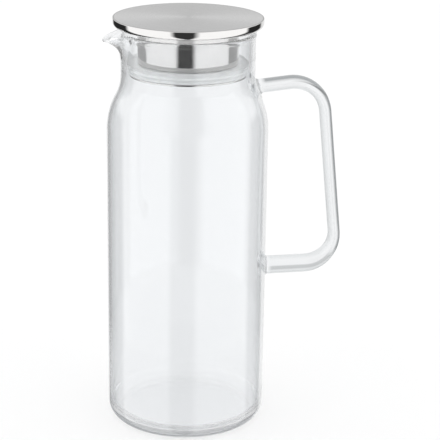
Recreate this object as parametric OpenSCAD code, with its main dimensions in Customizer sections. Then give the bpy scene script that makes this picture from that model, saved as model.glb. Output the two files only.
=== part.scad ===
// Glass pitcher with a plug lid: a blown glass jug with a pouring lip and a fused glass handle, and a
// stainless steel lid whose plug is sealed in the neck by a silicone ring.
// The origin is on the jug's axis, on the surface it stands on. +Z is up, +X is towards the handle.

/* [Jug body] */
// Outside diameter of the body
body_d = 105; // [98:0.5:115]
// Thickness of the body's wall
body_wall = 2.5; // [1.5:0.1:3.4]
// Thickness of the glass under the floor
base_thick = 5.5; // [3:0.1:9]
// How far the rounded foot draws in from the wall
foot_round_w = 8; // [3:0.1:12]
// Height of the foot's rounding
foot_round_h = 9.8; // [3:0.1:14]
// Radius between the floor and the inside of the wall
floor_round = 9; // [3:0.1:14]

/* [Shoulder and neck] */
// Height at which the wall starts to draw in
shoulder_z = 199; // [150:0.5:230]
// Radius of the shoulder
shoulder_round = 47; // [30:0.5:60]
// Radius of the hollow bend into the neck
neck_round = 30.5; // [20:0.5:45]
// Steepest slope of the shoulder from upright, in degrees
shoulder_slope = 27; // [20:0.5:40]
// Outside diameter of the neck
neck_d = 86.7; // [80:0.1:90]
// Thickness of the neck's wall
neck_wall = 3.5; // [2.5:0.1:3.8]
// Plain neck between the shoulder and the mouth
neck_plain_h = 2.2; // [1:0.1:8]

/* [Mouth and pouring lip] */
// Height of the mouth, from the plain neck to the rim
mouth_h = 23.5; // [18:0.5:35]
// Thickness of the fire-polished bead round the rim
rim_bead = 4; // [3.7:0.1:5]
// How far the lip reaches out past the neck
lip_reach = 11.4; // [6:0.1:14]
// How far the rim dips at the lip's tip
lip_dip = 3.4; // [2:0.1:6]
// Half the angle over which the lip is pulled out, in degrees
lip_half_angle = 24; // [14:1:30]
// Half the angle over which the rim dips, in degrees
dip_half_angle = 22; // [14:1:30]
// How late the lip turns outwards: higher is later
lip_curl = 3.5; // [2:0.1:5]
// How late the rim's dip sets in: higher is later
dip_curl = 1.9; // [1.2:0.1:3]

/* [Handle] */
// Depth of the upper weld's middle below the rim
handle_drop = 38; // [34:0.1:44]
// Height of the lower weld's middle
handle_low_z = 102; // [70:0.5:130]
// From the body's wall to the grip's axis at the upper corner
grip_reach_top = 37; // [33:0.5:48]
// From the body's wall to the grip's axis at the lower corner
grip_reach_low = 50.5; // [40:0.5:60]
// How far the upper arm climbs between the wall and its corner
arm_climb = 4.3; // [0:0.1:6]
// Bend radius of the rod's axis at the upper corner
bend_top = 22.5; // [14:0.5:26]
// Bend radius of the rod's axis at the lower corner
bend_low = 20; // [13:0.5:25]
// Width of the rod, across the handle's plane
rod_w = 12.5; // [10:0.1:16]
// Thickness of the upper arm
arm_top_thick = 9.1; // [7:0.1:11]
// Thickness of the grip
grip_thick = 8; // [7:0.1:11]
// Thickness of the lower arm
arm_low_thick = 12.3; // [8:0.1:14]
// How far the melted glass spreads round each weld
weld_spread = 1.6; // [0.5:0.1:3]
// Length over which that spread dies away
weld_len = 5; // [3:0.1:8]

/* [Lid cap] */
// How far the cap stands out past the neck
cap_overhang = 5; // [3:0.1:9]
// Height of the cap's edge
cap_h = 5.9; // [5:0.1:9]
// Space between the rim and the cap's underside
rim_gap = 2.7; // [1:0.1:4]
// Sheet thickness of the cap
cap_sheet = 0.8; // [0.6:0.05:1]
// Radius between the cap's top and its edge
cap_top_round = 0.9; // [0.8:0.05:1]
// Radius under the cap's edge
cap_low_round = 3.2; // [2.4:0.1:3.6]
// Width of the flat hem turned in under the cap
hem_w = 2; // [1:0.1:4]
// Thickness of the plate that the hem holds
plate_thick = 0.8; // [0.6:0.05:1.2]

/* [Plug] */
// Open space between the neck and the sleeve
plug_gap = 7.35; // [6:0.05:10]
// Sheet thickness of the sleeve
sleeve_sheet = 0.8; // [0.5:0.05:1.2]
// Height of the sleeve below the plate
sleeve_h = 23.7; // [18:0.1:30]
// Wall thickness of the moulded core
core_wall = 2; // [1.4:0.1:3]
// Thickness of the core's top
core_top_thick = 3; // [2:0.1:5]
// How far the core steps in below the sleeve, to carry the seal
core_step = 1.6; // [1:0.1:3]
// Outside diameter of each screw boss
boss_d = 7.5; // [6.5:0.1:9]
// Thickness of the retainer under the seal
retainer_thick = 1.2; // [0.8:0.1:2]

/* [Seal] */
// Space between the seal's upper lip and the neck
seal_neck_gap = 0.35; // [0.3:0.05:0.6]
// Height of the seal's root
seal_h = 6.1; // [5:0.1:8]
// How far the upper lip stands out from the root
seal_lip_w = 2.4; // [1.5:0.1:3]
// How far the upper lip curls up above the root
seal_lip_rise = 1.1; // [0.6:0.1:2]
// Thickness of the upper lip at its root
seal_lip_thick = 1.3; // [0.9:0.1:1.6]
// How far the two lower ribs stand out from the root
seal_rib_w = 0.9; // [0.6:0.1:1.4]
// Height of one lower rib
seal_rib_h = 1.3; // [0.9:0.1:1.5]

/* [Screws] */
// Screw shank diameter
screw_d = 3; // [2.5:0.1:3.5]
// Screw head diameter
screw_head_d = 5.4; // [4.8:0.1:6]
// Screw head height
screw_head_h = 1.6; // [1:0.1:2]
// Length of a screw below its head
screw_len = 8; // [6:0.5:9]
// Across flats of the hexagon socket
socket_w = 2; // [1.5:0.1:2.4]
// Depth of the hexagon socket
socket_depth = 0.9; // [0.5:0.05:1]
// Distance of the screws' axes in from the sleeve
screw_inset = 10; // [8:0.5:14]

/* [Fits] */
// Space between the seal and the pieces that it turns on
seal_clear = 0.2; // [0.1:0.05:0.3]
// Space between pieces that are pushed together
push_fit = 0.1; // [0.05:0.05:0.2]

/* [Hidden] */

overrun = 1;                  // how far a cut runs past the face that it opens
screw_count = 3;
arc_steps = 14;               // straight steps in one arc of an outline
$fn = 96;

glass = [0.86, 0.92, 0.92, 0.4];
steel = [0.78, 0.78, 0.79];
mirror_steel = [0.88, 0.88, 0.9];
silicone = [0.92, 0.93, 0.93, 0.8];
moulding = [0.9, 0.9, 0.88];

// Radii of the jug
body_r = body_d / 2;
body_in = body_r - body_wall;
neck_r = neck_d / 2;
neck_in = neck_r - neck_wall;

// Places of an outline's shoulder: slope, straight length, and the heights where its parts end
function slope_of(draw_in, radii) = min(shoulder_slope, acos(1 - draw_in / radii));
function straight_of(draw_in, radii, slope) = (draw_in - radii * (1 - cos(slope))) / sin(slope);
function bend_end(r1, slope) = shoulder_z + r1 * sin(slope);
function straight_end(r1, slope, straight) = bend_end(r1, slope) + straight * cos(slope);
function neck_start(r1, r2, slope, straight) = straight_end(r1, slope, straight) + r2 * sin(slope);

out_slope = slope_of(body_r - neck_r, shoulder_round + neck_round);
out_straight = straight_of(body_r - neck_r, shoulder_round + neck_round, out_slope);
out_neck_z = neck_start(shoulder_round, neck_round, out_slope, out_straight);

in_round = shoulder_round - body_wall;
in_neck_round = neck_round + neck_wall;
in_slope = slope_of(body_in - neck_in, in_round + in_neck_round);
in_straight = straight_of(body_in - neck_in, in_round + in_neck_round, in_slope);
in_neck_z = neck_start(in_round, in_neck_round, in_slope, in_straight);

mouth_z = max(out_neck_z, in_neck_z) + neck_plain_h;
rim_z = mouth_z + mouth_h;

// Heights of the lid, from the cap down to the retainer
cap_low_z = rim_z + rim_gap;
cap_top_z = cap_low_z + cap_h;
plate_low_z = cap_low_z + cap_sheet;
plate_top_z = plate_low_z + plate_thick;
sleeve_low_z = plate_low_z - sleeve_h;
seal_top_z = sleeve_low_z - seal_clear;
seal_low_z = seal_top_z - seal_h;
retainer_top_z = seal_low_z - seal_clear;
retainer_low_z = retainer_top_z - retainer_thick;

// Radii of the lid
cap_r = neck_r + cap_overhang;
sleeve_r = neck_in - plug_gap;
core_r = sleeve_r - sleeve_sheet - push_fit;
spigot_r = core_r - core_step;
seal_in = spigot_r + seal_clear;
seal_lip_r = neck_in - seal_neck_gap;
seal_root_r = seal_lip_r - seal_lip_w;
seal_rib_r = seal_root_r + seal_rib_w;
screw_circle_r = sleeve_r - screw_inset;
low_clear_r = cap_r - cap_low_round - push_fit;
stiffener_r = cap_r - cap_sheet - push_fit;
low_bend_in = cap_low_round - cap_sheet;

function unit(v) = v / norm(v);
function smooth(x) = let (t = min(max(x, 0), 1)) t * t * (3 - 2 * t);
function reversed(list) = [for (i = [len(list) - 1:-1:0]) list[i]];

// Values or points from one to another, without the last, and without the first if that is skipped
function run(from, to, steps, skip = 0) = [for (i = [skip:steps - 1]) from + (to - from) * i / steps];

function arc(centre, radius, from, to, steps = arc_steps) =
    [for (i = [0:steps]) let (a = from + (to - from) * i / steps)
        [centre[0] + radius * cos(a), centre[1] + radius * sin(a)]];

// Wall outline from the body up to the mouth, as [radius, height]
function shoulder(r_low, r_high, r1, r2, slope, neck_z) = concat(
    arc([r_low - r1, shoulder_z], r1, 0, slope),
    arc([r_high + r2, neck_z], r2, 180 + slope, 180));

function foot() = [for (i = [0:arc_steps]) let (a = 90 * i / arc_steps)
    [body_r - foot_round_w * (1 - sin(a)), foot_round_h * (1 - cos(a))]];

function outside(top_z) = concat(foot(),
    shoulder(body_r, neck_r, shoulder_round, neck_round, out_slope, out_neck_z), [[neck_r, top_z]]);

function inside(top_z) = concat(arc([body_in - floor_round, base_thick + floor_round], floor_round, -90, 0),
    shoulder(body_in, neck_in, in_round, in_neck_round, in_slope, in_neck_z), [[neck_in, top_z]]);

// Radius of the outside at a height on the body or the neck
function outside_r(z) =
    z <= shoulder_z ? body_r :
    z <= bend_end(shoulder_round, out_slope)
        ? body_r - shoulder_round + sqrt(pow(shoulder_round, 2) - pow(z - shoulder_z, 2)) :
    z <= straight_end(shoulder_round, out_slope, out_straight)
        ? body_r - shoulder_round * (1 - cos(out_slope))
          - (z - bend_end(shoulder_round, out_slope)) * tan(out_slope) :
    z <= out_neck_z
        ? neck_r + neck_round - sqrt(pow(neck_round, 2) - pow(out_neck_z - z, 2)) :
    neck_r;

// The mouth's wall section, which is the same all round before the lip is pulled. Its foot grows out
// of the middle of the neck's wall, and it stands a hair proud of the neck where it takes over.
mouth_lap = 0.06;
mouth_foot = neck_wall / 2;
mouth_lap_z = mouth_z + neck_plain_h / 2;
mouth_steps = 11;
bead_steps = 9;
bead_r = rim_bead / 2;
bead_mid = [neck_in - mouth_lap + bead_r, rim_z - bead_r];
bead_start = -acos((neck_r + mouth_lap - bead_mid[0]) / bead_r);

function mouth_section() = let (low_z = bead_mid[1] + bead_r * sin(bead_start)) concat(
    [[neck_in + neck_wall / 2, mouth_z - mouth_foot]],
    [for (i = [0:mouth_steps - 1]) [neck_r + mouth_lap, mouth_z + (low_z - mouth_z) * i / mouth_steps]],
    arc(bead_mid, bead_r, bead_start, 180, bead_steps),
    [for (i = [1:mouth_steps])
        [neck_in - mouth_lap, bead_mid[1] + (mouth_z - bead_mid[1]) * i / mouth_steps]]);

// How strongly a pull acts at an angle from the lip's middle, from 1 there to 0 at its half angle.
// Up the wall it grows to its full strength at the bead's middle, so the bead stays round.
function pull(angle, half) = abs(angle) < half ? pow(cos(90 * angle / half), 2) : 0;

// Directions of the mouth's sections from the lip's middle, closer together across the lip
lip_zone = 32;
lip_steps = 32;
rest_steps = 62;
mouth_angles = concat(run(-lip_zone, lip_zone, lip_steps), run(lip_zone, 360 - lip_zone, rest_steps));

module mouth() {
    section = mouth_section();
    n = len(section);
    sides = len(mouth_angles);
    points = [for (a = mouth_angles, p = section)
        let (t = min(max(p[1] - mouth_z, 0) / (mouth_h - bead_r), 1),
             r = p[0] + lip_reach * pull(a, lip_half_angle) * pow(t, lip_curl),
             z = p[1] - lip_dip * pull(a, dip_half_angle) * pow(t, dip_curl))
        [-r * cos(a), r * sin(a), z]];
    faces = [for (k = [0:sides - 1], i = [0:n - 1])
        let (k2 = (k + 1) % sides, i2 = (i + 1) % n)
        each [[k * n + i, k2 * n + i, k * n + i2], [k * n + i2, k2 * n + i, k2 * n + i2]]];
    polyhedron(points = points, faces = faces, convexity = 8);
}

module glass_body() {
    color(glass) {
        rotate_extrude() polygon(concat([[0, 0]], outside(mouth_lap_z), reversed(inside(mouth_lap_z)),
            [[0, base_thick]]));
        mouth();
    }
}

// The handle's axis in its plane: weld, upper corner, lower corner, weld
handle_top_z = rim_z - handle_drop;
handle_path = [
    [outside_r(handle_top_z) - neck_wall / 2, handle_top_z],
    [body_r + grip_reach_top, handle_top_z + arm_climb],
    [body_r + grip_reach_low, handle_low_z],
    [body_r - body_wall / 2, handle_low_z]];
rod_sides = 28;
bend_steps = 9;
grip_steps = 6;
weld_steps = 6;

// A rounded corner of the path, as points on its arc
function corner(before, at, after, radius) = let (
    u = unit(before - at), v = unit(after - at),
    half = acos(u * v) / 2,
    centre = at + unit(u + v) * radius / sin(half),
    first = at + u * radius / tan(half), last = at + v * radius / tan(half),
    a0 = atan2(first[1] - centre[1], first[0] - centre[0]),
    a1 = atan2(last[1] - centre[1], last[0] - centre[0]),
    turn = a1 - a0 > 180 ? a1 - a0 - 360 : a1 - a0 < -180 ? a1 - a0 + 360 : a1 - a0)
    arc(centre, radius, a0, a0 + turn, bend_steps);

function axis_points() = let (
    upper = corner(handle_path[0], handle_path[1], handle_path[2], bend_top),
    lower = corner(handle_path[1], handle_path[2], handle_path[3], bend_low),
    top_end = handle_path[0] + unit(handle_path[1] - handle_path[0]) * (weld_len + neck_wall / 2),
    low_end = handle_path[3] + unit(handle_path[2] - handle_path[3]) * (weld_len + body_wall / 2))
    concat(run(handle_path[0], top_end, weld_steps), [top_end], upper,
        run(upper[bend_steps], lower[0], grip_steps, 1), lower,
        reversed(run(handle_path[3], low_end, weld_steps)));

// Length along the axis up to each of its points
function lengths(points, i = 0, sum = 0, out = []) = i == len(points) ? out :
    let (now = i == 0 ? 0 : sum + norm(points[i] - points[i - 1]))
    lengths(points, i + 1, now, concat(out, [now]));

module handle_rod() {
    points = axis_points();
    last = len(points) - 1;
    at = lengths(points);
    upper_end = at[weld_steps + 1];
    lower_start = at[last - weld_steps];
    grip_in = at[weld_steps + 1 + bend_steps];
    grip_out = at[last - weld_steps - bend_steps];
    rings = [for (i = [0:last])
        let (t = unit(points[min(i + 1, last)] - points[max(i - 1, 0)]), n = [-t[1], t[0]],
             near = min(at[i], at[last] - at[i]),
             spread = weld_spread * 2 * pow(1 - min(near / (weld_len + neck_wall / 2), 1), 2),
             upper = smooth((at[i] - upper_end) / (grip_in - upper_end)),
             lower = smooth((at[i] - grip_out) / (lower_start - grip_out)),
             thick = arm_top_thick + (grip_thick - arm_top_thick) * upper
                     + (arm_low_thick - grip_thick) * lower)
        [for (k = [0:rod_sides - 1]) let (a = 360 * k / rod_sides,
             across = (rod_w + spread) / 2 * sin(a), along = (thick + spread) / 2 * cos(a))
            [points[i][0] + n[0] * along, across, points[i][1] + n[1] * along]]];
    polyhedron(points = [for (ring = rings) each ring], convexity = 4, faces = concat(
        [[for (k = [0:rod_sides - 1]) k]],
        [for (i = [0:last - 1], k = [0:rod_sides - 1])
            let (k2 = (k + 1) % rod_sides, a = i * rod_sides, b = a + rod_sides)
            each [[a + k, b + k, a + k2], [a + k2, b + k, b + k2]]],
        [[for (k = [rod_sides - 1:-1:0]) last * rod_sides + k]]));
}

module glass_handle() {
    color(glass) difference() {
        handle_rod();
        rotate_extrude() polygon(concat([[0, 0]], outside(mouth_z), [[0, mouth_z]]));
    }
}

// Drawn shell: flat top, rounded edge, hem turned in underneath
module lid_cap() {
    color(steel) rotate_extrude() polygon(concat(
        [[0, cap_top_z]],
        arc([cap_r - cap_top_round, cap_top_z - cap_top_round], cap_top_round, 90, 0),
        arc([cap_r - cap_low_round, cap_low_z + cap_low_round], cap_low_round, 0, -90),
        [[cap_r - cap_low_round - hem_w, cap_low_z], [cap_r - cap_low_round - hem_w, plate_low_z]],
        arc([cap_r - cap_low_round, cap_low_z + cap_low_round], low_bend_in, -90, 0),
        [[cap_r - cap_sheet, cap_top_z - cap_sheet], [0, cap_top_z - cap_sheet]]));
}

// Disc that fills the cap, with a pocket over each screw head
module cap_stiffener() {
    head_room = screw_head_h + push_fit;
    color(moulding) difference() {
        translate([0, 0, plate_top_z])
            cylinder(r1 = low_clear_r, r2 = stiffener_r, h = cap_top_z - cap_sheet - plate_top_z);
        for_each_screw()
            translate([0, 0, plate_top_z - overrun])
                cylinder(d = screw_head_d + 2 * push_fit, h = head_room + overrun);
    }
}

module for_each_screw() {
    for (i = [0:screw_count - 1])
        rotate([0, 0, 360 * (i + 0.5) / screw_count]) translate([screw_circle_r, 0, 0]) children();
}

module base_plate() {
    color(steel) difference() {
        translate([0, 0, plate_low_z]) cylinder(r = low_clear_r, h = plate_thick);
        for_each_screw()
            translate([0, 0, plate_low_z - overrun])
                cylinder(d = screw_d + 2 * push_fit, h = plate_thick + 2 * overrun);
    }
}

module plug_sleeve() {
    color(mirror_steel) translate([0, 0, sleeve_low_z]) difference() {
        cylinder(r = sleeve_r, h = sleeve_h);
        translate([0, 0, -overrun]) cylinder(r = sleeve_r - sleeve_sheet, h = sleeve_h + 2 * overrun);
    }
}

// Moulded cup with its top against the plate, a step that the seal sits on and a boss for each screw
module plug_core() {
    hollow_low = retainer_top_z - overrun;
    hollow_high = plate_low_z - core_top_thick;
    color(moulding) difference() {
        union() {
            difference() {
                rotate_extrude()
                    polygon([[0, retainer_top_z], [spigot_r, retainer_top_z], [spigot_r, sleeve_low_z],
                        [core_r, sleeve_low_z], [core_r, plate_low_z], [0, plate_low_z]]);
                translate([0, 0, hollow_low])
                    cylinder(r = spigot_r - core_wall, h = hollow_high - hollow_low);
            }
            for_each_screw()
                translate([0, 0, retainer_top_z]) cylinder(d = boss_d, h = plate_low_z - retainer_top_z);
        }
        for_each_screw() {
            translate([0, 0, retainer_top_z - overrun])
                cylinder(d = screw_d + 2 * push_fit, h = screw_len + overrun);
            translate([0, 0, plate_low_z - screw_len])
                cylinder(d = screw_d + 2 * push_fit, h = screw_len + overrun);
        }
    }
}

// Screw whose head rests on z = 0 with the shank below it
module screw() {
    difference() {
        union() {
            cylinder(d = screw_head_d, h = screw_head_h);
            translate([0, 0, -screw_len]) cylinder(d = screw_d, h = screw_len);
        }
        translate([0, 0, screw_head_h - socket_depth])
            cylinder(d = socket_w / cos(30), h = socket_depth + overrun, $fn = 6);
    }
}

module core_screws() {
    color(steel) for_each_screw() translate([0, 0, plate_top_z]) screw();
}

module retainer_screws() {
    color(steel) for_each_screw() translate([0, 0, retainer_low_z]) mirror([0, 0, 1]) screw();
}

// Moulded ring with a lip that curls up against the neck and two ribs below it
module seal_ring() {
    rib_gap = (seal_h - seal_lip_thick - 2 * seal_rib_h) / 2;
    rib_tip = seal_rib_h / 4;
    lip_root_z = seal_top_z - seal_lip_thick;
    tip_thick = seal_lip_thick / 3;
    color(silicone) rotate_extrude() polygon(concat(
        [[seal_in, seal_low_z]],
        [for (k = [0:1]) let (z = seal_low_z + k * (seal_rib_h + rib_gap))
            each [[seal_rib_r, z], [seal_rib_r + rib_tip, z + seal_rib_h / 2], [seal_rib_r, z + seal_rib_h],
                  [seal_root_r, z + seal_rib_h + rib_gap / 4], [seal_root_r, z + seal_rib_h + rib_gap]]],
        [for (i = [1:arc_steps]) let (t = i / arc_steps)
            [seal_root_r + seal_lip_w * t,
             lip_root_z + (seal_lip_rise + seal_lip_thick - tip_thick) * t * t]],
        [for (i = [arc_steps:-1:0]) let (t = i / arc_steps)
            [seal_root_r + seal_lip_w * t, seal_top_z + seal_lip_rise * t * t]],
        [[seal_in, seal_top_z]]));
}

module seal_retainer() {
    color(steel) difference() {
        translate([0, 0, retainer_low_z]) cylinder(r = seal_root_r + seal_rib_w / 2, h = retainer_thick);
        for_each_screw()
            translate([0, 0, retainer_low_z - overrun])
                cylinder(d = screw_d + 2 * push_fit, h = retainer_thick + 2 * overrun);
    }
}

glass_body();
glass_handle();
lid_cap();
cap_stiffener();
base_plate();
plug_sleeve();
plug_core();
core_screws();
seal_ring();
seal_retainer();
retainer_screws();
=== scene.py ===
# Glass pitcher with a steel plug lid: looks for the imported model.
# Sizes in the dictionaries are millimetres. Everything built is in metres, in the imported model's frame:
# the jug's axis is Z, the handle points to +X and the pouring lip to -X.
import math

import bmesh
import bpy
from mathutils import Matrix, Vector


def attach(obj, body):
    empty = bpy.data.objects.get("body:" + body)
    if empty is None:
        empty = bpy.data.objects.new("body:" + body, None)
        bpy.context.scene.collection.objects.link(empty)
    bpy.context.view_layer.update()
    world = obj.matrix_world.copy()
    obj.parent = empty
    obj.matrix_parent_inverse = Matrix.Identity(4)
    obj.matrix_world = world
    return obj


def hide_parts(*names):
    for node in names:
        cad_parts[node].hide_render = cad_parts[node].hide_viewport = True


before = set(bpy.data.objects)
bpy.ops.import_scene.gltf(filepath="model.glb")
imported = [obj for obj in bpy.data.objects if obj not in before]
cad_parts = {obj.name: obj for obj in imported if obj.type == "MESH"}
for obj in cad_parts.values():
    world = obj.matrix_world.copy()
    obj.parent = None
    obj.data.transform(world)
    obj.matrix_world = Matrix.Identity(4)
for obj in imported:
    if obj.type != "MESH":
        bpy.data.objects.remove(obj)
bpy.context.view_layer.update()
print("frame loaded:", len(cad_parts), "nodes")

mm = 0.001
closest = 0.002       # points of a turned outline that lie closer become one
sharpFrom = 40        # degrees between two faces from which their edge is kept sharp


# Small tools

def linear(hexColour):  # sRGB hex to the linear colour that shaders take
    parts = [int(hexColour[i:i + 2], 16) / 255 for i in (1, 3, 5)]
    return [c / 12.92 if c <= 0.04045 else ((c + 0.055) / 1.055) ** 2.4 for c in parts] + [1.0]


def addNode(tree, kind, inputs=None, **settings):  # a node with its settings, and values or links on its inputs
    node = tree.nodes.new(kind)
    for name, value in settings.items():
        setattr(node, name, value)
    for key, value in (inputs or {}).items():
        if isinstance(value, bpy.types.Node):  # stands for its first output
            value = value.outputs[0]
        if isinstance(value, bpy.types.NodeSocket):
            tree.links.new(value, node.inputs[key])
        else:
            node.inputs[key].default_value = value
    return node


def newTree(owner):
    owner.use_nodes = True
    owner.node_tree.nodes.clear()
    return owner.node_tree


def startMaterial(name):  # a material, its empty node tree, and the place on the piece that its patterns follow
    material = bpy.data.materials.new(name)
    tree = newTree(material)
    return material, tree, addNode(tree, "ShaderNodeTexCoord").outputs["Object"]


def arc(centre, radius, start, end, steps):  # points on an arc, both ends included, angles in degrees
    angles = [math.radians(start + (end - start) * i / steps) for i in range(steps + 1)]
    return [(centre[0] + radius * math.cos(a), centre[1] + radius * math.sin(a)) for a in angles]


def between(start, end, steps):  # points of a straight run, without its two ends
    return [(start[0] + (end[0] - start[0]) * i / steps, start[1] + (end[1] - start[1]) * i / steps)
            for i in range(1, steps)]


def spinProfile(points, steps, closed):  # turns an outline of [radius, height] round the axis into a bmesh
    bm = bmesh.new()
    verts = [bm.verts.new((r * mm, 0, z * mm)) for r, z in points]
    edges = [bm.edges.new(pair) for pair in zip(verts, verts[1:])]
    if closed:
        edges.append(bm.edges.new((verts[-1], verts[0])))
    bmesh.ops.spin(bm, geom=verts + edges, cent=(0, 0, 0), axis=(0, 0, 1), dvec=(0, 0, 0),
                   angle=math.tau, steps=steps, use_merge=True, use_duplicate=False)
    bmesh.ops.remove_doubles(bm, verts=bm.verts, dist=closest * mm)
    bmesh.ops.recalc_face_normals(bm, faces=bm.faces)
    return bm


def addObject(name, bm):  # an object with the bmesh's mesh, in the scene
    mesh = bpy.data.meshes.new(name)
    bm.to_mesh(mesh)
    bm.free()
    made = bpy.data.objects.new(name, mesh)
    bpy.context.scene.collection.objects.link(made)
    return made


def finishPiece(bm, name, materials, body, slot, *nodes):  # object, materials, smooth faces and body; the slot is not used
    piece = addObject(name, bm)
    for material in materials:
        piece.data.materials.append(material)
    for face in piece.data.polygons:
        face.use_smooth = True
    piece.data.set_sharp_from_angle(angle=math.radians(sharpFrom))
    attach(piece, body)
    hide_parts(*nodes)
    print("made", name, "with", len(piece.data.polygons), "faces")


# Camera: stands where the perspective of the product view puts it

view = {
    "distance": 1010.7,   # from the jug's axis, level
    "height": 469.6,
    "azimuth": -10.0,     # where the camera stands, 0 is at -Y and 90 at +X
    "turn": 1.243,        # degrees that it looks to the right of the axis
    "down": 18.24,
    "roll": 0.843,
    "lens": 131.6, "sensor": 36,
    "nearest": 0.02, "farthest": 60,  # metres
}


def addCamera():
    data = bpy.data.cameras.new("studioCamera")
    data.lens = view["lens"]
    data.sensor_width = view["sensor"]
    data.clip_start = view["nearest"]
    data.clip_end = view["farthest"]
    camera = bpy.data.objects.new("studioCamera", data)
    bpy.context.scene.collection.objects.link(camera)
    side = math.radians(view["azimuth"])
    place = Vector((math.sin(side), -math.cos(side), 0)) * view["distance"] * mm
    place.z = view["height"] * mm
    heading = Matrix.Rotation(side - math.radians(view["turn"]), 4, "Z")
    tilt = Matrix.Rotation(math.radians(90 - view["down"]), 4, "X")
    roll = Matrix.Rotation(math.radians(view["roll"]), 4, "Z")
    camera.matrix_world = Matrix.Translation(place) @ heading @ tilt @ roll
    bpy.context.scene.camera = camera
    print("camera placed")


addCamera()


# Studio: white sweep, two wide soft boxes and dark gaps between them

studio = {
    "boxes": 1.5,         # brightness of the two soft boxes
    "backdrop": 1.0,      # brightness of the wall behind
    "gap": 0.05,          # brightness of the dark gap where the camera stands
    "flank": 0.03,        # brightness of the dark gaps beside the backdrop
    "softFlank": 0.42,    # the same for steel behind glass, which spreads it out
    "glassGap": 0.75,     # the dark gap for light that turns inside the glass
    "glassFlank": 0.7,    # and the gaps beside the backdrop for it
    "front": 0.5,         # brightness over the camera
    "fill": 2.0,          # makes up for the light that the neck's glass keeps from the seal
    "ceiling": 1.2,
    # Directions as seen from the jug, in degrees from the camera's, to the right, with the brightness there
    "ring": [(-180, "backdrop"), (-162, "backdrop"), (-154, "flank"), (-109, "flank"), (-101, "boxes"),
             (-28, "boxes"), (-20, "gap"), (8, "gap"), (18, "boxes"), (97, "boxes"), (104, "flank"),
             (138, "flank"), (146, "backdrop"), (180, "backdrop")],
    "upperRing": [(-180, "backdrop"), (-140, "backdrop"), (-110, "boxes"), (-40, "boxes"), (-10, "front"),
                  (10, "front"), (40, "boxes"), (110, "boxes"), (140, "backdrop"), (180, "backdrop")],
    "rise": (0.02, 0.15),      # how steeply up a direction goes where the ring gives way to the upper ring
    "overhead": (0.72, 0.9),   # and the upper ring to the ceiling
    "paper": "#EFEFEF",
    "floorRadius": 6.0,   # metres
    "floorSides": 96,
    "nearPaper": (0.07, 0.2),  # metres from the axis over which the paper fades for light that turns in glass
    "shadowShare": 0.5,   # how much of the floor's shading the camera sees; the rest is the white sweep
    "glassShadowShare": 0.04,  # the same through the glass
}


def seenDirectly(tree):  # 1 for what the camera sees past the jug or straight through its glass
    rays = addNode(tree, "ShaderNodeLightPath").outputs
    straight = addNode(tree, "ShaderNodeMath", {0: rays["Glossy Depth"], 1: 0.5}, operation="LESS_THAN")
    through = addNode(tree, "ShaderNodeMath", {0: rays["Is Transmission Ray"], 1: straight},
                      operation="MULTIPLY")
    seen = addNode(tree, "ShaderNodeMath", {0: rays["Is Camera Ray"], 1: through}, operation="MAXIMUM")
    return seen, straight


def ringShade(tree, share, stops, **instead):  # colour ramp of a ring of directions
    ring = addNode(tree, "ShaderNodeValToRGB", {"Fac": share})
    points = ring.color_ramp.elements
    for i, (degrees, level) in enumerate(stops):
        point = points[i] if i < 2 else points.new(1.0)
        point.position = (degrees + 180) / 360
        point.color = [studio[instead.get(level, level)] / studio["boxes"]] * 3 + [1]
    return ring


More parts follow.
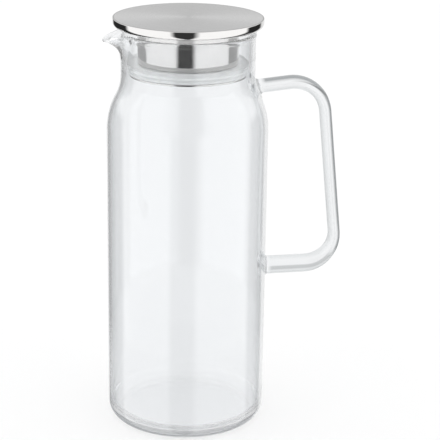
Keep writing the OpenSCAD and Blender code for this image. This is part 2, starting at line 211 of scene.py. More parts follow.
def addWorld():
    world = bpy.data.worlds.new("whiteStudio")
    bpy.context.scene.world = world
    tree = newTree(world)
    direction = addNode(tree, "ShaderNodeTexCoord").outputs["Generated"]
    turned = addNode(tree, "ShaderNodeVectorRotate", {
        "Vector": direction, "Angle": math.radians(90 - view["azimuth"])}, rotation_type="Z_AXIS")
    parts = addNode(tree, "ShaderNodeSeparateXYZ", {0: turned}).outputs
    angle = addNode(tree, "ShaderNodeMath", {0: parts["Y"], 1: parts["X"]}, operation="ARCTAN2")
    share = addNode(tree, "ShaderNodeMapRange", {"Value": angle, "From Min": -math.pi, "From Max": math.pi})
    bare = ringShade(tree, share, studio["ring"])
    softened = ringShade(tree, share, studio["ring"], flank="softFlank")
    turning = ringShade(tree, share, studio["ring"], flank="glassFlank", gap="glassGap")
    # Light to steel behind a wall and back passes four surfaces of glass and is reflected once
    rays = addNode(tree, "ShaderNodeLightPath").outputs
    passed = rays["Transmission Depth"]
    four = addNode(tree, "ShaderNodeMath", {0: passed, 1: 4.0, 2: 0.5}, operation="COMPARE")
    once = addNode(tree, "ShaderNodeMath", {0: rays["Glossy Depth"], 1: 1.0, 2: 0.5}, operation="COMPARE")
    behind = addNode(tree, "ShaderNodeMath", {0: four, 1: once}, operation="MULTIPLY")
    glassed = addNode(tree, "ShaderNodeMix", {0: behind, 6: turning, 7: softened}, data_type="RGBA").outputs[2]
    lower = addNode(tree, "ShaderNodeMix", {0: passed, 6: bare, 7: glassed}, data_type="RGBA",
                    clamp_factor=True).outputs[2]
    upper = ringShade(tree, share, studio["upperRing"])
    rise, overhead = [addNode(tree, "ShaderNodeMapRange", {
        "Value": parts["Z"], "From Min": studio[name][0], "From Max": studio[name][1]})
        for name in ("rise", "overhead")]
    sides = addNode(tree, "ShaderNodeMix", {0: rise, 6: lower, 7: upper}, data_type="RGBA").outputs[2]
    ceiling = [studio["ceiling"] / studio["boxes"]] * 3 + [1]
    shade = addNode(tree, "ShaderNodeMix", {0: overhead, 6: sides, 7: ceiling}, data_type="RGBA").outputs[2]
    seen, straight = seenDirectly(tree)
    inside = addNode(tree, "ShaderNodeMath", {0: passed, 1: straight}, operation="MULTIPLY", use_clamp=True)
    lit = addNode(tree, "ShaderNodeMapRange", {
        "Value": inside, "To Min": studio["boxes"], "To Max": studio["boxes"] * studio["fill"]})
    room = addNode(tree, "ShaderNodeBackground", {"Color": shade, "Strength": lit})
    white = addNode(tree, "ShaderNodeBackground", {"Color": [1, 1, 1, 1], "Strength": 1.0})
    mixed = addNode(tree, "ShaderNodeMixShader", {0: seen, 1: room, 2: white})
    addNode(tree, "ShaderNodeOutputWorld", {"Surface": mixed})


def addFloor():
    bm = bmesh.new()
    bmesh.ops.create_circle(bm, cap_ends=True, segments=studio["floorSides"], radius=studio["floorRadius"])
    floor = addObject("paleFloor", bm)
    material, tree, place = startMaterial("paleSweepPaper")
    paper = addNode(tree, "ShaderNodeBsdfDiffuse", {"Color": linear(studio["paper"])})
    sweep = addNode(tree, "ShaderNodeEmission", {"Color": [1, 1, 1, 1], "Strength": 1.0})
    gone = addNode(tree, "ShaderNodeBsdfTransparent")
    seen, straight = seenDirectly(tree)
    rays = addNode(tree, "ShaderNodeLightPath").outputs
    white = addNode(tree, "ShaderNodeMapRange", {
        "Value": rays["Is Camera Ray"], "To Min": 1 - studio["glassShadowShare"],
        "To Max": 1 - studio["shadowShare"]})
    share = addNode(tree, "ShaderNodeMath", {0: seen, 1: white}, operation="MULTIPLY")
    mixed = addNode(tree, "ShaderNodeMixShader", {0: share, 1: paper, 2: sweep})
    # Polished steel reflects the room and not the paper, but the thick glass of the foot shows the near paper
    away = addNode(tree, "ShaderNodeVectorMath", {0: place}, operation="LENGTH").outputs["Value"]
    near = addNode(tree, "ShaderNodeMapRange", {
        "Value": away, "From Min": studio["nearPaper"][0], "From Max": studio["nearPaper"][1],
        "To Min": 1.0, "To Max": 0.0})
    inGlass = addNode(tree, "ShaderNodeMath", {0: near, 1: rays["Transmission Depth"]}, operation="MULTIPLY",
                      use_clamp=True)
    shown = addNode(tree, "ShaderNodeMath", {0: straight, 1: inGlass}, operation="MAXIMUM")
    kept = addNode(tree, "ShaderNodeMixShader", {0: shown, 1: gone, 2: mixed})
    addNode(tree, "ShaderNodeOutputMaterial", {"Surface": kept})
    floor.data.materials.append(material)


addWorld()
addFloor()
bpy.context.scene.view_settings.view_transform = "Standard"
print("studio ready")


# Materials

glassLook = {
    "tint": "#F6F7F8",
    "paintedEdgeShade": "#DBDEE0",  # painted shade where the wall is seen along its surface
    "paintedEdgeShadeTurn": (0.55, 0.95),  # how far the wall turns from the eye where that painted shade starts and is full
    "rodInnerPaintedShade": "#DADDDE",  # painted shade on the handle's edges, on its side towards the body
    "rodOuterPaintedShade": "#6C7072",  # and darker painted shade on its outer side, which bends light furthest
    "rodPaintedShade": (0.08, 0.35), "outerPaintedShadeTurn": (0.05, 0.4),  # turn from the eye where the handle's painted shade starts and is full, and out of the loop for its darker outer side
    "wallX": (54.0, 47.5), "wallZ": (205.0, 218.0),  # where the handle begins below the shoulder, and above it
    "rodStart": 3.0,      # over which the wall's tint gives way to the handle's
    "loopMiddle": (80.0, 0.0, 165.0),  # middle of the handle's loop
    # Painted shade, dark streaks on the rod for the dark that the glass bends in: how far up the surface looks
    # where each starts, is full, stays full and ends
    "lowPaintedStreak": "#A4A7A8", "lowPaintedStreakTilt": (-0.42, -0.2, 0.08, 0.25), "lowArmZ": (113.0, 108.0),
    "bendPaintedStreak": "#3C3F40", "bendPaintedStreakTilt": (0.34, 0.44, 0.52, 0.64),
    "upperBendX": (66.0, 84.0), "upperBendZ": (170.0, 200.0),
    "ior": 1.473,         # borosilicate glass
    "shadow": "#FEFEFE",
    "turns": 1,           # that light may make inside the glass
    "absorb": 15.0,       # per metre
    "absorbTint": "#C4C6C8",
    "waveSize": 28.0,     # the slow unevenness of a blown wall
    "waveHeight": 0.012,
    "waveStretch": 2.5,   # how many times longer the waves are up the wall than round it
}


def blownBorosilicateGlass():  # blown and fire polished: clear, grey in long paths, with a faint slow waviness, and with painted shade at its edges and painted dark streaks in the handle
    material, tree, place = startMaterial("blownBorosilicateGlass")
    normal = addNode(tree, "ShaderNodeTexCoord").outputs["Normal"]
    stretched = addNode(tree, "ShaderNodeMapping", {
        "Vector": place, "Scale": (1, 1, 1 / glassLook["waveStretch"])})
    waves = addNode(tree, "ShaderNodeTexNoise", {
        "Vector": stretched, "Scale": 1 / (glassLook["waveSize"] * mm), "Detail": 1.0, "Roughness": 0.4})
    bump = addNode(tree, "ShaderNodeBump", {
        "Height": waves, "Strength": 0.6, "Distance": glassLook["waveHeight"] * mm})
    # Painted shade: the glass is tinted darker where its surface turns away from the eye
    grazing = addNode(tree, "ShaderNodeLayerWeight", {"Blend": 0.5}).outputs["Facing"]
    parts = addNode(tree, "ShaderNodeSeparateXYZ", {0: place}).outputs
    wallX = addNode(tree, "ShaderNodeMapRange", {
        "Value": parts["Z"], "From Min": glassLook["wallZ"][0] * mm, "From Max": glassLook["wallZ"][1] * mm,
        "To Min": glassLook["wallX"][0] * mm, "To Max": glassLook["wallX"][1] * mm})
    beyond = addNode(tree, "ShaderNodeMath", {0: parts["X"], 1: wallX}, operation="SUBTRACT")
    onRod = addNode(tree, "ShaderNodeMapRange", {
        "Value": beyond, "From Min": 0.0, "From Max": glassLook["rodStart"] * mm})
    fromMiddle = addNode(tree, "ShaderNodeVectorMath", {
        0: place, 1: [c * mm for c in glassLook["loopMiddle"]]}, operation="SUBTRACT")
    outwards = addNode(tree, "ShaderNodeVectorMath", {0: fromMiddle}, operation="NORMALIZE")
    facesOut = addNode(tree, "ShaderNodeVectorMath", {0: outwards, 1: normal}, operation="DOT_PRODUCT")
    front = addNode(tree, "ShaderNodeMath", {
        0: 1.0, 1: addNode(tree, "ShaderNodeNewGeometry").outputs["Backfacing"]}, operation="SUBTRACT")
    tilt = addNode(tree, "ShaderNodeSeparateXYZ", {0: normal}).outputs["Z"]
    outerSide, paintedEdgeShare, rodPaintedShadeShare, lowArm, pastArm, aboveGrip = [addNode(tree, "ShaderNodeMapRange", {
        "Value": value, "From Min": glassLook[name][0] * unit, "From Max": glassLook[name][1] * unit})
        for value, name, unit in (
            (facesOut.outputs["Value"], "outerPaintedShadeTurn", 1), (grazing, "paintedEdgeShadeTurn", 1), (grazing, "rodPaintedShade", 1),
            (parts["Z"], "lowArmZ", mm), (parts["X"], "upperBendX", mm), (parts["Z"], "upperBendZ", mm))]
    aboveLow = addNode(tree, "ShaderNodeMath", {0: 1.0, 1: lowArm}, operation="SUBTRACT")
    paintedShadeSide = addNode(tree, "ShaderNodeMath", {0: outerSide, 1: aboveLow}, operation="MULTIPLY")
    # Painted shade on the handle's edges, darker on the outer side of the loop above the low arm
    rodPaintedShade = addNode(tree, "ShaderNodeMix", {
        0: paintedShadeSide, 6: linear(glassLook["rodInnerPaintedShade"]), 7: linear(glassLook["rodOuterPaintedShade"])}, data_type="RGBA")
    wallTintWithPaintedShade = addNode(tree, "ShaderNodeMix", {
        0: paintedEdgeShare, 6: linear(glassLook["tint"]), 7: linear(glassLook["paintedEdgeShade"])}, data_type="RGBA")
    rodTintWithPaintedShade = addNode(tree, "ShaderNodeMix", {
        0: rodPaintedShadeShare, 6: linear(glassLook["tint"]), 7: rodPaintedShade.outputs[2]}, data_type="RGBA")
    onBend = addNode(tree, "ShaderNodeMath", {0: pastArm, 1: aboveGrip}, operation="MULTIPLY")
    # Painted shade: each dark streak is tinted onto the rod's front faces where they tilt within its range
    for streak, where in (("lowPaintedStreak", lowArm), ("bendPaintedStreak", onBend)):
        starts, full, fullTo, ends = glassLook[streak + "Tilt"]
        share = addNode(tree, "ShaderNodeMath", {0: where, 1: front}, operation="MULTIPLY")
        for bare, dark in ((starts, full), (ends, fullTo)):
            fade = addNode(tree, "ShaderNodeMapRange", {"Value": tilt, "From Min": bare, "From Max": dark})
            share = addNode(tree, "ShaderNodeMath", {0: share, 1: fade}, operation="MULTIPLY")
        rodTintWithPaintedShade = addNode(tree, "ShaderNodeMix", {
            0: share, 6: rodTintWithPaintedShade.outputs[2], 7: linear(glassLook[streak])}, data_type="RGBA")
    tint = addNode(tree, "ShaderNodeMix", {0: onRod, 6: wallTintWithPaintedShade.outputs[2], 7: rodTintWithPaintedShade.outputs[2]},
                   data_type="RGBA")
    glass = addNode(tree, "ShaderNodeBsdfPrincipled", {
        "Base Color": tint.outputs[2], "Roughness": 0.0, "IOR": glassLook["ior"],
        "Transmission Weight": 1.0, "Normal": bump})
    clear = addNode(tree, "ShaderNodeBsdfTransparent", {"Color": linear(glassLook["shadow"])})
    rays = addNode(tree, "ShaderNodeLightPath").outputs
    # Light that has turned twice inside the foot, the lip or the handle is let out, or they go black
    turnedOften = addNode(tree, "ShaderNodeMath", {0: rays["Glossy Depth"], 1: glassLook["turns"] + 0.5},
                          operation="GREATER_THAN")
    passes = addNode(tree, "ShaderNodeMath", {0: rays["Is Shadow Ray"], 1: turnedOften}, operation="MAXIMUM")
    mixed = addNode(tree, "ShaderNodeMixShader", {0: passes, 1: glass, 2: clear})
    depth = addNode(tree, "ShaderNodeVolumeAbsorption", {
        "Color": linear(glassLook["absorbTint"]), "Density": glassLook["absorb"]})
    addNode(tree, "ShaderNodeOutputMaterial", {"Surface": mixed, "Volume": depth})
    return material


grainLook = {
    "colour": "#A8A8A8", "light": "#BCBCBC",
    "contrast": (0.3, 0.7),  # shades of the grain where it is smoothest and roughest
    "roughness": (0.25, 0.38),
    "grainWidth": 0.4,    # real grain is about 0.1 wide; drawn this coarse so that it shows
    "grainLength": 14.0, "grainDepth": 0.02,
    "sheen": 0.75, "sheenTurn": 0.25,  # how far the grain draws a highlight out, and in which direction
    "edge": "#6E6E6E",    # painted dark line, for the reflection that the polished turn at the rim throws
    "paintedRimLineRadii": (47.1, 47.8),
}


def brushedStainlessSteel():  # brushed while it turned: fine rings, a sheen spread out from the middle, and a painted dark line near the rim
    material, tree, place = startMaterial("brushedStainlessSteel")
    parts = addNode(tree, "ShaderNodeSeparateXYZ", {0: place}).outputs
    flat = addNode(tree, "ShaderNodeCombineXYZ", {0: parts["X"], 1: parts["Y"]})
    radius = addNode(tree, "ShaderNodeVectorMath", {0: flat}, operation="LENGTH").outputs["Value"]
    ringCount = addNode(tree, "ShaderNodeMath", {0: radius, 1: 1 / (grainLook["grainWidth"] * mm)},
                        operation="MULTIPLY")
    streak = addNode(tree, "ShaderNodeVectorMath", {
        0: flat, 1: [1 / (grainLook["grainLength"] * mm)] * 3}, operation="MULTIPLY")
    streakParts = addNode(tree, "ShaderNodeSeparateXYZ", {0: streak}).outputs
    along = addNode(tree, "ShaderNodeCombineXYZ", {0: streakParts["X"], 1: streakParts["Y"], 2: ringCount})
    grain = addNode(tree, "ShaderNodeTexNoise", {
        "Vector": along, "Scale": 1.0, "Detail": 3.0, "Roughness": 0.65})
    tone = addNode(tree, "ShaderNodeMix", {
        0: grain, 6: linear(grainLook["colour"]), 7: linear(grainLook["light"])}, data_type="RGBA")
    # Painted reflection: a dark ring painted on the brushed top just inside the rounded rim
    rim = addNode(tree, "ShaderNodeMapRange", {
        "Value": radius, "From Min": grainLook["paintedRimLineRadii"][0] * mm,
        "From Max": grainLook["paintedRimLineRadii"][1] * mm})
    toneWithPaintedRimLine = addNode(tree, "ShaderNodeMix", {0: rim, 6: tone.outputs[2], 7: linear(grainLook["edge"])},
                    data_type="RGBA")
    rough = addNode(tree, "ShaderNodeMapRange", {
        "Value": grain, "From Min": grainLook["contrast"][0], "From Max": grainLook["contrast"][1],
        "To Min": grainLook["roughness"][0], "To Max": grainLook["roughness"][1]})
    bump = addNode(tree, "ShaderNodeBump", {
        "Height": grain, "Strength": 0.4, "Distance": grainLook["grainDepth"] * mm})
    around = addNode(tree, "ShaderNodeTangent", direction_type="RADIAL", axis="Z")
    steel = addNode(tree, "ShaderNodeBsdfPrincipled", {
        "Base Color": toneWithPaintedRimLine.outputs[2], "Metallic": 1.0, "Roughness": rough, "Normal": bump,
        "Anisotropic": grainLook["sheen"], "Anisotropic Rotation": grainLook["sheenTurn"], "Tangent": around})
    addNode(tree, "ShaderNodeOutputMaterial", {"Surface": steel})
    return material


polishLook = {
    "colour": "#D0CFCE",
    "contrast": (0.3, 0.75),
    "roughness": (0.042, 0.112),
    "scratchSize": 1.4, "scratchSqueeze": 6,
}


def polishedStainlessSteel():  # buffed to a mirror: only hairline scratches break the reflections
    material, tree, place = startMaterial("polishedStainlessSteel")
    stretched = addNode(tree, "ShaderNodeMapping", {
        "Vector": place, "Scale": (1, 1, polishLook["scratchSqueeze"])})
    hairs = addNode(tree, "ShaderNodeTexNoise", {
        "Vector": stretched, "Scale": 1 / (polishLook["scratchSize"] * mm), "Detail": 4.0})
    rough = addNode(tree, "ShaderNodeMapRange", {
        "Value": hairs, "From Min": polishLook["contrast"][0], "From Max": polishLook["contrast"][1],
        "To Min": polishLook["roughness"][0], "To Max": polishLook["roughness"][1]})
    steel = addNode(tree, "ShaderNodeBsdfPrincipled", {
        "Base Color": linear(polishLook["colour"]), "Metallic": 1.0, "Roughness": rough})
    addNode(tree, "ShaderNodeOutputMaterial", {"Surface": steel})
    return material


siliconeLook = {
    "colour": "#F2F3F3", "dark": "#E6E8E8", "shadow": "#EEF0F0",
    "roughness": 0.32,
    "ior": 1.41,
    "clearness": 0.05,
    "milkShare": 0.85,    # how much of the light goes through it and spreads
    "milkDepth": 5.0,
    "cloudSize": 6.0,
    "skinSize": 0.3, "skinDepth": 0.02,
}


def mouldedSilicone():  # translucent silicone rubber from a satin mould: milky, with soft cloudy depth
    material, tree, place = startMaterial("mouldedSilicone")
    cloud = addNode(tree, "ShaderNodeTexNoise", {
        "Vector": place, "Scale": 1 / (siliconeLook["cloudSize"] * mm), "Detail": 2.0})
    tone = addNode(tree, "ShaderNodeMix", {
        0: cloud, 6: linear(siliconeLook["dark"]), 7: linear(siliconeLook["colour"])}, data_type="RGBA")
    skin = addNode(tree, "ShaderNodeTexNoise", {
        "Vector": place, "Scale": 1 / (siliconeLook["skinSize"] * mm), "Detail": 1.0})
    bump = addNode(tree, "ShaderNodeBump", {
        "Height": skin, "Strength": 0.15, "Distance": siliconeLook["skinDepth"] * mm})
    rubber = addNode(tree, "ShaderNodeBsdfPrincipled", {
        "Base Color": tone.outputs[2], "Roughness": siliconeLook["roughness"], "IOR": siliconeLook["ior"],
        "Transmission Weight": siliconeLook["clearness"], "Normal": bump,
        "Subsurface Weight": siliconeLook["milkShare"], "Subsurface Radius": (1, 1, 1),
        "Subsurface Scale": siliconeLook["milkDepth"] * mm})
    clear = addNode(tree, "ShaderNodeBsdfTransparent", {"Color": linear(siliconeLook["shadow"])})
    shadow = addNode(tree, "ShaderNodeLightPath").outputs["Is Shadow Ray"]
    mixed = addNode(tree, "ShaderNodeMixShader", {0: shadow, 1: rubber, 2: clear})
    addNode(tree, "ShaderNodeOutputMaterial", {"Surface": mixed})
    return material


mouldingLook = {"colour": "#EAEAE6", "dark": "#E2E2DD", "roughness": 0.5, "ior": 1.49,
                "sparkSize": 0.25, "sparkDepth": 0.03}


def mouldedPolypropylene():  # injection moulded, off white: fine spark-eroded texture
    material, tree, place = startMaterial("mouldedPolypropylene")
    spark = addNode(tree, "ShaderNodeTexNoise", {
        "Vector": place, "Scale": 1 / (mouldingLook["sparkSize"] * mm), "Detail": 2.0})
    tone = addNode(tree, "ShaderNodeMix", {
        0: spark, 6: linear(mouldingLook["dark"]), 7: linear(mouldingLook["colour"])}, data_type="RGBA")
    bump = addNode(tree, "ShaderNodeBump", {
        "Height": spark, "Strength": 0.4, "Distance": mouldingLook["sparkDepth"] * mm})
    plastic = addNode(tree, "ShaderNodeBsdfPrincipled", {
        "Base Color": tone.outputs[2], "Roughness": mouldingLook["roughness"], "IOR": mouldingLook["ior"],
        "Normal": bump})
    addNode(tree, "ShaderNodeOutputMaterial", {"Surface": plastic})
    return material


screwLook = {"colour": "#BEBDBA", "roughness": (0.2, 0.42), "markSize": 0.4}


def turnedScrewSteel():  # cold-headed stainless screws: satin, with faint turning marks
    material, tree, place = startMaterial("turnedScrewSteel")
    marks = addNode(tree, "ShaderNodeTexNoise", {
        "Vector": place, "Scale": 1 / (screwLook["markSize"] * mm), "Detail": 3.0})
    rough = addNode(tree, "ShaderNodeMapRange", {
        "Value": marks, "To Min": screwLook["roughness"][0], "To Max": screwLook["roughness"][1]})
    steel = addNode(tree, "ShaderNodeBsdfPrincipled", {
        "Base Color": linear(screwLook["colour"]), "Metallic": 1.0, "Roughness": rough})
    addNode(tree, "ShaderNodeOutputMaterial", {"Surface": steel})
    return material


glass = blownBorosilicateGlass()
brushed = brushedStainlessSteel()
polished = polishedStainlessSteel()
silicone = mouldedSilicone()
moulding = mouldedPolypropylene()
screwSteel = turnedScrewSteel()
print("materials ready")


# Jug

jug = {
    "bodyRadius": 52.5, "bodyWall": 2.5, "baseThick": 5.5,
    "footWidth": 8.0, "footHeight": 9.8, "floorRound": 9.0,
    "hollow": ((0, 0.7), (0.4, 0.602), (0.7, 0.35), (0.9, 0.06)),  # underside: share of the foot's flat, height
    "shoulderZ": 199.0, "shoulderRound": 47.0, "neckRound": 30.5, "slope": 27.0,
    "neckRadius": 43.35, "neckWall": 3.5, "plainNeck": 2.2, "mouthHeight": 23.5, "bead": 4.0,
    "lipReach": 11.4, "lipDip": 3.4, "lipHalf": 24.0, "dipHalf": 22.0, "lipCurl": 3.5, "dipCurl": 1.9,
    "sides": 240, "footSteps": 16,
    "weldZ": (86.0, 118.0),  # between these the wall has closer rings, for the handle's lower weld
    "wallSteps": (14, 22, 12),  # below, between and above them
}


def shoulderLine(lowRadius, highRadius, lowBend, highBend):
    # two bends that meet on a straight slope, as [radius, height], and the height where the neck begins
    drawIn = lowRadius - highRadius
    slope = min(jug["slope"], math.degrees(math.acos(1 - drawIn / (lowBend + highBend))))
    sine, cosine = math.sin(math.radians(slope)), math.cos(math.radians(slope))
    straight = (drawIn - (lowBend + highBend) * (1 - cosine)) / sine
    neckZ = jug["shoulderZ"] + (lowBend + highBend) * sine + straight * cosine
    line = arc((lowRadius - lowBend, jug["shoulderZ"]), lowBend, 0, slope, steps=14)
    line += arc((highRadius + highBend, neckZ), highBend, 180 + slope, 180, steps=14)
    return line, neckZ


neckIn = jug["neckRadius"] - jug["neckWall"]
outerLine, outerNeckZ = shoulderLine(
    jug["bodyRadius"], jug["neckRadius"], jug["shoulderRound"], jug["neckRound"])
innerLine, innerNeckZ = shoulderLine(
    jug["bodyRadius"] - jug["bodyWall"], neckIn,
    jug["shoulderRound"] - jug["bodyWall"], jug["neckRound"] + jug["neckWall"])
mouthZ = max(outerNeckZ, innerNeckZ) + jug["plainNeck"]
rimZ = mouthZ + jug["mouthHeight"]


def outerRadius(z):  # radius of the jug's outside at a height
    line = [(jug["bodyRadius"], 0)] + outerLine + [(jug["neckRadius"], rimZ)]
    for (r0, z0), (r1, z1) in zip(line, line[1:]):
        if z0 <= z <= z1 and z1 > z0:
            return r0 + (r1 - r0) * (z - z0) / (z1 - z0)
    return jug["neckRadius"]


def jugProfile():  # from the middle of the underside up the wall, round the rim and down to the floor's middle
    radius, foot, height = jug["bodyRadius"], jug["footWidth"], jug["footHeight"]
    inner, flat, neck = radius - jug["bodyWall"], radius - foot, jug["neckRadius"]
    points = [(flat * share, z) for share, z in jug["hollow"]]
    footAngles = [math.radians(90 * i / jug["footSteps"]) for i in range(jug["footSteps"] + 1)]
    points += [(flat + foot * math.sin(a), height * (1 - math.cos(a))) for a in footAngles]
    levels = (height, *jug["weldZ"], jug["shoulderZ"])
    for low, high, steps in zip(levels, levels[1:], jug["wallSteps"]):
        points += between((radius, low), (radius, high), steps)
    points += outerLine
    beadRadius = jug["bead"] / 2
    beadZ, beadMid = rimZ - beadRadius, neckIn + beadRadius
    start = -math.degrees(math.acos(min((neck - beadMid) / beadRadius, 1)))
    beadLow = beadZ + beadRadius * math.sin(math.radians(start))
    points += [(neck, mouthZ)] + between((neck, mouthZ), (neck, beadLow), steps=18)
    points += arc((beadMid, beadZ), beadRadius, start, 180, steps=12)
    points += between((neckIn, beadZ), (neckIn, mouthZ), steps=18) + [(neckIn, mouthZ)]
    floorIn, floorZ = inner - jug["floorRound"], jug["baseThick"] + jug["floorRound"]
    points += list(reversed(innerLine)) + between((inner, jug["shoulderZ"]), (inner, floorZ), steps=24)
    points += arc((floorIn, floorZ), jug["floorRound"], 0, -90, steps=12)
    middle = (0, jug["baseThick"])
    return points + between((floorIn, jug["baseThick"]), middle, steps=5) + [middle]


def pull(angle, half):  # 1 in the lip's middle, 0 at its half angle
    return math.cos(math.pi / 2 * angle / half) ** 2 if abs(angle) < half else 0.0


def pullLip(bm):  # draws the mouth out over the lip and lets the rim dip there, with its bead kept round
    for vert in bm.verts:
        height = min((vert.co.z / mm - mouthZ) / (jug["mouthHeight"] - jug["bead"] / 2), 1)
        if height <= 0:
            continue
        angle = math.degrees(math.atan2(vert.co.y, -vert.co.x))
        radius = math.hypot(vert.co.x, vert.co.y)
        reach = jug["lipReach"] * mm * pull(angle, jug["lipHalf"]) * height ** jug["lipCurl"]
        vert.co.x *= 1 + reach / radius
        vert.co.y *= 1 + reach / radius
        vert.co.z -= jug["lipDip"] * mm * pull(angle, jug["dipHalf"]) * height ** jug["dipCurl"]


handle = {
    "drop": 38.0, "lowZ": 102.0, "reachTop": 37.0, "reachLow": 50.5, "climb": 4.3,
    "bendTop": 22.5, "bendLow": 20.0,
    "width": 12.5, "topThick": 9.1, "gripThick": 8.0, "lowThick": 12.3,
    "fillet": 3.0,        # radius of the melted glass round each weld
    "filletAngles": (84, 76, 66, 55, 44, 32, 18, 0), "pastFillet": (1.3, 1.7),
    "root": 1.0,          # how far each end runs into the wall
    "follow": 1.6,        # fillet radii over which an end stops following the wall's round
    "plainArm": 9.0,      # from the wall to where the arm is plain rod
    "topRings": (0.55, 0.7, 0.85), "lowRings": (0.4, 0.55, 0.7, 0.85),  # shares of each arm's length
    "sides": 48, "bendSteps": 16, "gripSteps": 12,
    "closest": 0.04,      # points of the melted glass that lie closer become one
}


def bend(before, at, after, radius, steps):  # a rounded corner of the handle's line
    u, v = (before - at).normalized(), (after - at).normalized()
    half = u.angle(v) / 2
    centre = at + (u + v).normalized() * radius / math.sin(half)
    first, last = at + u * radius / math.tan(half), at + v * radius / math.tan(half)
    turn = Vector(first - centre).angle_signed(Vector(last - centre))
    points = []
    for i in range(steps + 1):
        arm = Vector(first - centre)
        arm.rotate(Matrix.Rotation(-turn * i / steps, 2))
        points.append(centre + arm)
    return points


def armStations(weld, corner, armEnd, shares):
    # from the weld outwards: [point, spread of the weld, how far it follows the wall]
    fillet, out = handle["fillet"], (corner - weld).normalized()
    melt = [(fillet * (1 - math.sin(a)), fillet * (1 - math.cos(a))) for a in
            [math.radians(degrees) for degrees in handle["filletAngles"]]]
    melt += [(away, 0) for away in (*[fillet * share for share in handle["pastFillet"]], handle["plainArm"])]
    line = [(weld - out * handle["root"], fillet, 1.0)]
    for away, spread in melt:
        line.append((weld + out * away, spread, max(0, 1 - away / fillet / handle["follow"])))
    return line + [(weld.lerp(armEnd, share), 0, 0) for share in shares]


def handleStations():
    # from weld to weld: [point in its plane, thickness, spread of the weld, how far it follows the wall]
    top, low = rimZ - handle["drop"], handle["lowZ"]
    start, end = Vector((outerRadius(top), top)), Vector((jug["bodyRadius"], low))
    upper = Vector((jug["bodyRadius"] + handle["reachTop"], top + handle["climb"]))
    lower = Vector((jug["bodyRadius"] + handle["reachLow"], low))
    upperBend = bend(start, upper, lower, handle["bendTop"], handle["bendSteps"])
    lowerBend = bend(upper, lower, end, handle["bendLow"], handle["bendSteps"])
    steps = handle["gripSteps"]
    grip = [upperBend[-1].lerp(lowerBend[0], i / steps) for i in range(1, steps)]
    line = armStations(start, upper, upperBend[0], handle["topRings"])
    line += [(point, 0, 0) for point in upperBend + grip + lowerBend]
    line += reversed(armStations(end, lower, lowerBend[-1], handle["lowRings"]))
    lengths = [0]
    for (a, _, _), (b, _, _) in zip(line, line[1:]):
        lengths.append(lengths[-1] + (b - a).length)
    topEnd, gripStart, gripEnd, lowStart = [
        min(range(len(line)), key=lambda i, bendEnd=bendEnd: (line[i][0] - bendEnd).length)
        for bendEnd in (upperBend[0], upperBend[-1], lowerBend[0], lowerBend[-1])]

    def ease(at, a, b):
        t = min(max((at - lengths[a]) / (lengths[b] - lengths[a]), 0), 1)
        return t * t * (3 - 2 * t)

    def thickness(at):
        return (handle["topThick"] + (handle["gripThick"] - handle["topThick"]) * ease(at, topEnd, gripStart)
                + (handle["lowThick"] - handle["gripThick"]) * ease(at, gripEnd, lowStart))

    return [(point, thickness(at), spread, follow) for (point, spread, follow), at in zip(line, lengths)]


def handleMesh():  # one ring, drawn out along the handle's line
    stations = handleStations()
    bm = bmesh.new()
    ring = bmesh.ops.create_circle(bm, cap_ends=True, segments=handle["sides"], radius=1.0)["verts"]
    edges = list(bm.edges)
    unit = [vert.co.copy() for vert in ring]
    for index, (point, thick, spread, follow) in enumerate(stations):
        if index:
            drawn = bmesh.ops.extrude_edge_only(bm, edges=edges)["geom"]
            edges = [e for e in drawn if isinstance(e, bmesh.types.BMEdge)]
            fresh = [v for v in drawn if isinstance(v, bmesh.types.BMVert)]
            ring = [min(fresh, key=lambda v, old=old: (v.co - old.co).length) for old in ring]
        ahead = stations[min(index + 1, len(stations) - 1)][0] - stations[max(index - 1, 0)][0]
        across = Vector((-ahead.y, ahead.x)).normalized()
        for vert, place in zip(ring, unit):
            out = place.x * (thick / 2 + spread)
            side = place.y * (handle["width"] / 2 + spread)
            x, z = point.x + across.x * out, point.y + across.y * out
            wall = math.sqrt(max(outerRadius(z) ** 2 - side ** 2, 1)) - outerRadius(point.y)
            vert.co = Vector((x + wall * follow, side, z)) * mm
    bmesh.ops.contextual_create(bm, geom=edges)
    bmesh.ops.recalc_face_normals(bm, faces=bm.faces)
    return bm


def meltTogether(body, rod):  # joins the rod to the wall as one piece of glass, with no faces left inside
    join = body.modifiers.new("melt", "BOOLEAN")
    join.operation = "UNION"
    join.solver = "EXACT"
    join.object = rod
    bpy.context.view_layer.update()
    melted = bmesh.new()
    melted.from_object(body, bpy.context.evaluated_depsgraph_get())
    bpy.data.objects.remove(rod)
    bpy.data.objects.remove(body)
    return melted


def buildJug():
    body = spinProfile(jugProfile(), jug["sides"], False)
    pullLip(body)
    melted = meltTogether(addObject("jugGlass", body), addObject("rod", handleMesh()))
    bmesh.ops.remove_doubles(melted, verts=melted.verts, dist=handle["closest"] * mm)
    bmesh.ops.recalc_face_normals(melted, faces=melted.faces)
    finishPiece(melted, "jugGlass", [glass], "jug", "clear_glass", "glass_body", "glass_handle")


buildJug()


# Lid

lid = {
    "capRadius": 48.35, "capTop": 272.1, "capLow": 266.2, "sheet": 0.8, "topRound": 0.45, "lowRound": 3.2,
    "hem": 2.0, "hemEdge": (0.3, 0.25),  # width of the turned-in hem, and how its edge is broken
    "flatEdge": 1.0,      # from the rounding in to the last ring of the flat top
    "brushedDepth": 0.4, "brushedUp": 0.93,  # brushed faces lie at most this deep and look up this much
    "sleeveRadius": 32.5, "sleeveLow": 243.3, "sleeveTop": 267.0, "sleeveSheet": 0.8, "sleeveEdge": 0.35,
    "sides": 192,
}


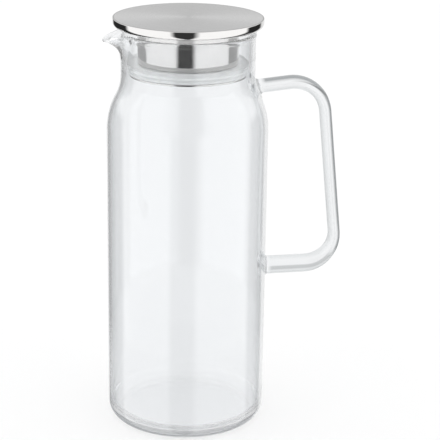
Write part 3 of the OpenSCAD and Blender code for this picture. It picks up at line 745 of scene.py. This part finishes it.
def buildCap():
    radius, top, low, sheet = lid["capRadius"], lid["capTop"], lid["capLow"], lid["sheet"]
    topRound, lowRound = lid["topRound"], lid["lowRound"]
    points = [(0, top), (radius / 2, top), (radius - topRound - lid["flatEdge"], top)]
    points += arc((radius - topRound, top - topRound), topRound, 90, 0, steps=8)
    points += arc((radius - lowRound, low + lowRound), lowRound, 0, -90, steps=14)
    hemIn = radius - lowRound - lid["hem"]
    points += [(hemIn + lid["hemEdge"][0], low), (hemIn, low + lid["hemEdge"][1]), (hemIn, low + sheet)]
    points += arc((radius - lowRound, low + lowRound), lowRound - sheet, -90, 0, steps=10)
    points += [(radius - sheet, top - sheet), (0, top - sheet)]
    bm = spinProfile(points, lid["sides"], False)
    for face in bm.faces:
        onTop = face.calc_center_median().z > (top - lid["brushedDepth"]) * mm
        face.material_index = 0 if onTop and face.normal.z > lid["brushedUp"] else 1
    finishPiece(bm, "lidCap", [brushed, polished], "lid", "brushed_lid_steel", "lid_cap")


def buildSleeve():
    radius, inner, edge = lid["sleeveRadius"], lid["sleeveRadius"] - lid["sleeveSheet"], lid["sleeveEdge"]
    low, top = lid["sleeveLow"], lid["sleeveTop"]
    points = [(inner, top), (radius, top)] + between((radius, top), (radius, low + edge), steps=6)
    points += arc((radius - edge, low + edge), edge, 0, -90, steps=5) + [(inner, low)]
    bm = spinProfile(points, lid["sides"], True)
    finishPiece(bm, "plugSleeve", [polished], "lid", "polished_steel", "plug_sleeve")


seal = {
    "inner": 30.2, "root": 37.1, "tip": 39.5, "low": 237.0, "top": 243.1,
    "lipRise": 1.1, "lipThick": 1.3, "lipSteps": 12,
    "ribOut": 0.9, "ribBack": 0.4, "ribHeight": 1.3,  # ribBack: how far a rib's round edge is set back
}


def buildSeal():
    root, low, top, rib = seal["root"], seal["low"], seal["top"], seal["ribHeight"]
    gap = (top - low - seal["lipThick"] - 2 * rib) / 2
    reach, under = seal["tip"] - root, top - seal["lipThick"]
    tip = seal["lipThick"] / 3
    points = [(seal["inner"], low)]
    for z in (low, low + rib + gap):
        points += arc((root + seal["ribOut"] - seal["ribBack"], z + rib / 2), rib / 2, -90, 90, steps=8)
        points += arc((root + gap / 2, z + rib + gap / 2), gap / 2, -100, -260, steps=6)
    shares = [i / seal["lipSteps"] for i in range(seal["lipSteps"] + 1)]
    rise = seal["lipRise"] + seal["lipThick"] - tip
    points += [(root + reach * t, under + rise * t * t) for t in shares[1:]]
    points += [(root + reach * t, top + seal["lipRise"] * t * t) for t in reversed(shares)]
    points += [(seal["inner"], top)]
    bm = spinProfile(points, lid["sides"], True)
    finishPiece(bm, "sealRing", [silicone], "seal", "clear_silicone", "seal_ring")


retainer = {"radius": 37.55, "low": 235.6, "top": 236.8, "round": 0.4}


def buildRetainer():
    radius, low, top, edge = retainer["radius"], retainer["low"], retainer["top"], retainer["round"]
    points = [(0, top)] + arc((radius - edge, top - edge), edge, 90, 0, steps=4)
    points += arc((radius - edge, low + edge), edge, 0, -90, steps=4) + [(0, low)]
    bm = spinProfile(points, lid["sides"], False)
    finishPiece(bm, "sealRetainer", [polished], "lid", "polished_steel", "seal_retainer")


buildCap()
buildSleeve()
buildSeal()
buildRetainer()

for nodeName, material in (("cap_stiffener", moulding), ("plug_core", moulding), ("base_plate", polished),
                           ("core_screws", screwSteel), ("retainer_screws", screwSteel)):
    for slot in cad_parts[nodeName].material_slots:
        slot.material = material
print("lid ready")

bpy.context.view_layer.update()
